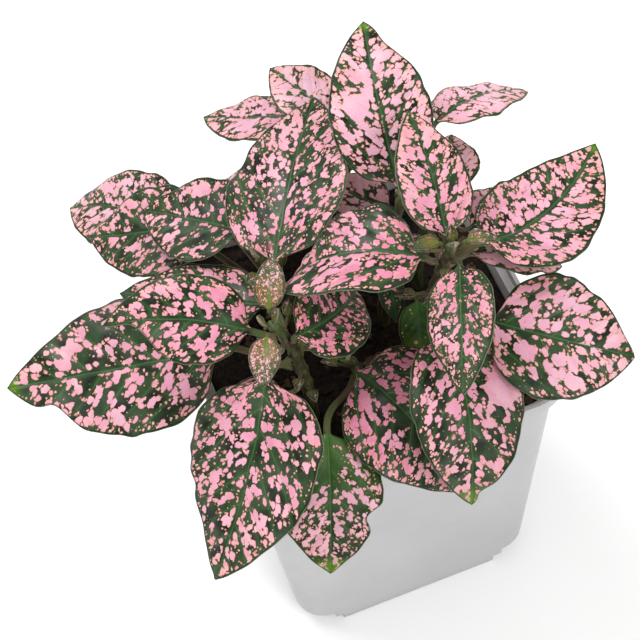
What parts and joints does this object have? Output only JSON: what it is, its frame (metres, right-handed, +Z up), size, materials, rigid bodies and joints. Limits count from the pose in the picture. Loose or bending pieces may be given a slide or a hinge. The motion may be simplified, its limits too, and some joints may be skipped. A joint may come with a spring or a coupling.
{
  "type": "potted polka dot plant",
  "caption": "Small foliage plant with pink-speckled dark green leaves on upright stems, standing in soil in a square tapered nursery pot.",
  "frame": {"origin": "centre of the pot's underside, on the surface that the pot stands on", "axes": "+Z up; the pot's sides lie along X and Y, and its -Y side is the front one in the picture"},
  "size_m": [0.1618, 0.1375, 0.1657],
  "materials": {
    "pot_plastic": "satin",
    "soil": "matte",
    "stem": "satin",
    "leaf": "satin"
  },
  "bodies": {
    "root": {"pot": "pot_plastic", "soil": "soil", "front_left_stem": "stem", "front_right_stem": "stem", "front_low_stem": "stem", "middle_stem": "stem", "back_stem": "stem", "left_stem": "stem", "right_stem": "stem", "front_left_leaf_1": "leaf", "front_left_leaf_2": "leaf", "front_left_leaf_3": "leaf", "front_left_leaf_4": "leaf", "front_left_leaf_5": "leaf", "front_left_leaf_6": "leaf", "front_left_leaf_7": "leaf", "front_left_leaf_8": "leaf", "front_right_leaf_1": "leaf", "front_right_leaf_2": "leaf", "front_right_leaf_3": "leaf", "front_right_leaf_4": "leaf", "front_right_leaf_5": "leaf", "front_right_leaf_6": "leaf", "front_right_leaf_7": "leaf", "front_right_leaf_8": "leaf", "front_right_leaf_9": "leaf", "front_right_leaf_10": "leaf", "front_low_leaf_1": "leaf", "front_low_leaf_2": "leaf", "middle_leaf_1": "leaf", "middle_leaf_2": "leaf", "middle_leaf_3": "leaf", "back_leaf_1": "leaf", "back_leaf_2": "leaf", "back_leaf_3": "leaf", "back_leaf_4": "leaf", "left_leaf_1": "leaf", "left_leaf_2": "leaf", "left_leaf_3": "leaf", "left_leaf_4": "leaf", "right_leaf_1": "leaf", "right_leaf_2": "leaf", "right_leaf_3": "leaf"}
  },
  "joints": []
}
